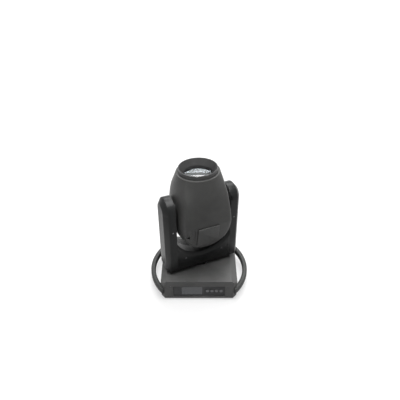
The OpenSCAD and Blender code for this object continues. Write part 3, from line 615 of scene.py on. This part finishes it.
def head_plate():
    """Blank cover plate on the sloping front, its corners and rim rounded."""
    r = 3.0
    ring = []
    for k, (sx, sz) in enumerate(((1, 1), (-1, 1), (-1, -1), (1, -1))):
        cx = PLATE_X + sx * (PLATE_W / 2 - r)
        cz = -PLATE_H / 2 - 1 + sz * (PLATE_H / 2 - r)
        for i in range(7):
            a = math.radians(90 * k + 15 * i)
            ring.append((cx + r * math.cos(a), cz + r * math.sin(a)))
    rings = [[(x * MM, y * MM, z * MM) for x, z in ring] for y in (0.0, -2.0)]
    rings[1] = [(x, y - 0.022 * (z + PLATE_H * MM), z) for x, y, z in rings[1]]
    plate = loft("blank_plate", rings, SLOPE)
    bevel(plate, 0.6, 3, 30)
    finish_piece(plate, "head", "moulded_black", shell_plastic, "cover_plate")


def head_bezel():
    """Bezel ring: thin bright rim, stepped inner cone with light-trap grooves."""
    low, high = local_size("bezel", TO_HEAD)
    lens_low, lens_high = local_size("front_lens", TO_HEAD)
    r = high.x / MM
    top = high.z / MM
    lens_r = lens_high.x / MM
    seat = lens_low.z / MM
    cone_low = lens_high.z / MM + 1.5
    inner = r - 2.6
    profile = [(lens_r - 3, low.z / MM), (r, low.z / MM), (r, top - 1.0), (r - 0.3, top - 0.3),
               (r - 0.9, top), (r - 1.7, top), (r - 2.3, top - 0.4)]
    steps = 7
    for i in range(steps + 1):
        f = i / steps
        z = top - 1.5 - (top - 1.5 - cone_low) * f
        radius = inner + (lens_r + 0.6 - inner) * f
        profile += [(radius + 0.25, z + 0.5), (radius, z)]
    profile += [(lens_r + 0.2, seat), (lens_r - 3, seat)]
    ring = lathe("bezel_ring", profile, TO_HEAD)
    smooth(ring, 35)
    finish_piece(ring, "head", "moulded_black", bezel_plastic, "bezel")


def head_lens():
    """Domed front lens with a ground edge."""
    low, high = local_size("front_lens", TO_HEAD)
    r = high.x / MM
    z0, z1 = low.z / MM, high.z / MM
    dome = (z1 - z0) - 3
    ball = (r * r + dome * dome) / (2 * dome)
    pole = 0.01
    profile = [(pole, z0), (r - 0.4, z0), (r, z0 + 0.4)]
    for i in range(20, -1, -1):
        radius = max(pole, r * i / 20)
        profile.append((radius, z1 - ball + math.sqrt(ball * ball - radius * radius)))
    lens = lathe("front_lens_glass", profile, TO_HEAD)
    smooth(lens, 40)
    finish_piece(lens, "head", "lens_glass", lens_glass, "front_lens")


# ---------------------------------------------------------------- yoke

SEAM_X = local_size("arm_cover_right", TO_YOKE)[0].x / MM


def arm_ring(x, r, low, centre, steps=40):
    """Arm outline across the yoke at x: straight sides under a half-round top."""
    angles = [math.pi * i / steps for i in range(steps + 1)]
    ring = [(x, r * math.cos(a), centre + r * math.sin(a)) for a in angles]
    for f in (0.33, 0.66, 1.0):
        ring.append((x, -r, centre + (low - centre) * f))
    for f in (1.0, 0.66, 0.33):
        ring.append((x, r, centre + (low - centre) * f))
    return [(px * MM, py * MM, pz * MM) for px, py, pz in ring]


def on_seam(first, last):
    """True for an edge on the plane where an arm cover meets the crossbar covers."""
    across = [abs(p.x * tilt_axis.x + p.y * tilt_axis.y) / MM for p in (first, last)]
    return all(abs(x - SEAM_X) < 0.2 for x in across)


def yoke_arms():
    """Arm covers: slab with a round top, chamfered outwards, rounded edges."""
    low, high = local_size("arm_cover_right", TO_YOKE)
    x0, x1 = low.x / MM, high.x / MM
    r = high.y / MM
    z0 = low.z / MM
    centre = tilt_centre.z / MM
    flat, chamfer = x1 - 12, 16
    for side, node in ((1, "arm_cover_right"), (-1, "arm_cover_left")):
        turn = TO_YOKE if side > 0 else TO_YOKE @ Matrix.Rotation(math.pi, 4, "Z")
        outer = [arm_ring(x, rr, z0, centre) for x, rr in ((x0, r), (flat, r), (x1, r - chamfer))]
        arm = loft("skin_" + node, outer, turn)
        inner = [arm_ring(x, rr, z0 + WALL, centre)
                 for x, rr in ((x0 - 1, r - WALL), (flat, r - WALL), (x1 - WALL, r - chamfer - WALL))]
        cut(arm, [loft("hollow", inner, turn)])
        bevel(arm, 2.2, 4, 24, on_seam)
        smooth(arm, 50)
        finish_piece(arm, "yoke", "moulded_black", yoke_plastic, node)


def yoke_covers():
    """Crossbar covers with the light bevel along the saddle."""
    for node in ("yoke_cover_front", "yoke_cover_rear"):
        cover = soften(node, "skin_" + node, 0.8, 3, 25, on_seam)
        finish_piece(cover, "yoke", "moulded_black", yoke_plastic, node)
    inner = soften("yoke_frame", "skin_yoke_frame", 0.5, 2, 35)
    finish_piece(inner, "yoke", "painted_steel", tray_coat, "yoke_frame")


# ---------------------------------------------------------------- base

def base_housing():
    """Base cover, tray and panels with softened edges."""
    cover = soften("base_cover", "skin_base_cover", 1.6, 4, 20)
    finish_piece(cover, "base", "moulded_black", base_plastic, "base_cover")
    tray = soften("base_tray", "skin_base_tray", 0.4, 2, 35)
    finish_piece(tray, "base", "painted_steel", tray_coat, "base_tray")
    for node in ("front_panel", "rear_panel"):
        sheet = soften(node, "skin_" + node, 0.3, 2, 35)
        finish_piece(sheet, "base", "moulded_black", panel_plastic, node)


def base_handles():
    """Carry handles: rounded bars on an arc about the pan axis."""
    low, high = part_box("handle_right")
    reach = [math.hypot(v.co.x, v.co.y) for v in frame["nodes"]["handle_right"].data.vertices]
    outer, inner = max(reach) / MM, min(reach) / MM
    middle, half_w = (outer + inner) / 2, (outer - inner) / 2
    half_h = (high.z - low.z) / MM / 2
    z = (high.z + low.z) / MM / 2
    cover_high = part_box("base_cover")[1]
    x, y = cover_high.x / MM, cover_high.y / MM
    for side, node in ((1, "handle_right"), (-1, "handle_left")):
        rings = []
        for i in range(61):
            a = math.radians(-43 + 86 * i / 60)
            ring = []
            for k in range(24):
                b = 2 * math.pi * k / 24
                c, s = math.cos(b), math.sin(b)
                u = half_w * math.copysign(abs(c) ** 0.6, c)
                v = half_h * math.copysign(abs(s) ** 0.6, s)
                far = (middle + u) * MM
                ring.append((far * math.cos(a), far * math.sin(a), (z + v) * MM))
            rings.append(ring)
        turn = Matrix.Identity(4) if side > 0 else Matrix.Rotation(math.pi, 4, "Z")
        bar = loft("skin_" + node, rings, turn)
        outline = [(x - 12, -y), (x, 14 - y), (x, y - 14), (x - 12, y), (0, y), (0, -y)]
        wedge = [[(px * MM, py * MM, pz * MM) for px, py in outline] for pz in (0, 100)]
        cut(bar, [loft("housing", wedge, turn)])
        bevel(bar, 0.8, 2, 50)
        smooth(bar, 50)
        finish_piece(bar, "base", "moulded_black", handle_plastic, node)


# ---------------------------------------------------------------- camera, light and floor

CAMERA_PLACE = (0.003, -0.972, 1.044)
CAMERA_PITCH = math.radians(36.95)
SENSOR = 36.0
FOCAL_TO_WIDTH = 421.1 / 400


def camera():
    """Camera high in front of the light, looking down at it."""
    lens = bpy.data.cameras.new("camera")
    lens.sensor_width = SENSOR
    lens.lens = SENSOR * FOCAL_TO_WIDTH
    eye = bpy.data.objects.new("camera", lens)
    bpy.context.scene.collection.objects.link(eye)
    forward = Vector((0, math.cos(CAMERA_PITCH), -math.sin(CAMERA_PITCH)))
    right = Vector((1, 0, 0))
    turn = Matrix((right, right.cross(forward), -forward)).transposed().to_4x4()
    eye.matrix_world = Matrix.Translation(CAMERA_PLACE) @ turn
    bpy.context.scene.camera = eye


def area_light(name, place, target, size, power):
    """Soft rectangular lamp aimed at target."""
    data = bpy.data.lights.new(name, "AREA")
    data.shape = "RECTANGLE"
    data.size, data.size_y = size
    data.energy = power
    lamp = bpy.data.objects.new(name, data)
    bpy.context.scene.collection.objects.link(lamp)
    lamp.location = place
    lamp.rotation_euler = (Vector(target) - Vector(place)).to_track_quat("-Z", "Y").to_euler()


def seen_strength(nodes, links, lit, seen):
    """Backdrop strength: seen for camera, glossy and transmission rays, lit for the rest."""
    path = add(nodes, "ShaderNodeLightPath")
    direct = add(nodes, "ShaderNodeMath", operation="MAXIMUM")
    links.new(path.outputs["Is Camera Ray"], direct.inputs[0])
    links.new(path.outputs["Is Glossy Ray"], direct.inputs[1])
    every = add(nodes, "ShaderNodeMath", operation="MAXIMUM")
    links.new(direct.outputs["Value"], every.inputs[0])
    links.new(path.outputs["Is Transmission Ray"], every.inputs[1])
    strength = add(nodes, "ShaderNodeMapRange")
    strength.inputs["To Min"].default_value = lit
    strength.inputs["To Max"].default_value = seen
    links.new(every.outputs["Value"], strength.inputs["Value"])
    return strength.outputs["Result"]


def pale_floor():
    """Floor that glows towards white far from the light and keeps its shadow near it."""
    floor_mat = bpy.data.materials.new("floor")
    floor_mat.use_nodes = True
    nodes, links = floor_mat.node_tree.nodes, floor_mat.node_tree.links
    shader = nodes["Principled BSDF"]
    shader.inputs["Emission Color"].default_value = (1, 1, 1, 1)
    coords = add(nodes, "ShaderNodeTexCoord")
    reach = add(nodes, "ShaderNodeVectorMath", operation="LENGTH")
    links.new(coords.outputs["Object"], reach.inputs[0])
    fade = add(nodes, "ShaderNodeMapRange")
    fade.inputs["From Min"].default_value = 0.6
    fade.inputs["From Max"].default_value = 3.0
    fade.inputs["To Min"].default_value = 0.55
    fade.inputs["To Max"].default_value = 1.0
    links.new(reach.outputs["Value"], fade.inputs["Value"])
    glow = add(nodes, "ShaderNodeMath", operation="MULTIPLY")
    links.new(seen_strength(nodes, links, 0.0, 1.0), glow.inputs[0])
    links.new(fade.outputs["Result"], glow.inputs[1])
    links.new(glow.outputs["Value"], shader.inputs["Emission Strength"])
    shader.inputs["Base Color"].default_value = (0.3, 0.3, 0.3, 1)
    shader.inputs["Roughness"].default_value = 0.9
    floor = mesh_piece("floor", [(-6, -6, 0), (6, -6, 0), (6, 6, 0), (-6, 6, 0)], [(0, 1, 2, 3)])
    floor.data.materials.append(floor_mat)


def studio():
    """White world as a backdrop, and soft lamps above and behind."""
    world = bpy.data.worlds.new("world")
    world.use_nodes = True
    nodes, links = world.node_tree.nodes, world.node_tree.links
    nodes["Background"].inputs["Color"].default_value = (1, 1, 1, 1)
    links.new(seen_strength(nodes, links, 0.14, 1.0), nodes["Background"].inputs["Strength"])
    bpy.context.scene.world = world
    bpy.context.scene.view_settings.view_transform = "Standard"
    area_light("ceiling", (0.1, -0.1, 2.3), (0, 0, 0.2), (1.7, 1.7), 90)
    area_light("window", (-1.6, -1.4, 1.6), (0, 0, 0.2), (1.2, 1.2), 4)
    area_light("back_window", (0.1, 1.35, 1.75), (0, 0, 0.25), (1.9, 0.8), 34)


camera()
dress_cad()
head_shells()
head_plate()
head_bezel()
head_lens()
yoke_arms()
yoke_covers()
base_housing()
base_handles()
pale_floor()
studio()
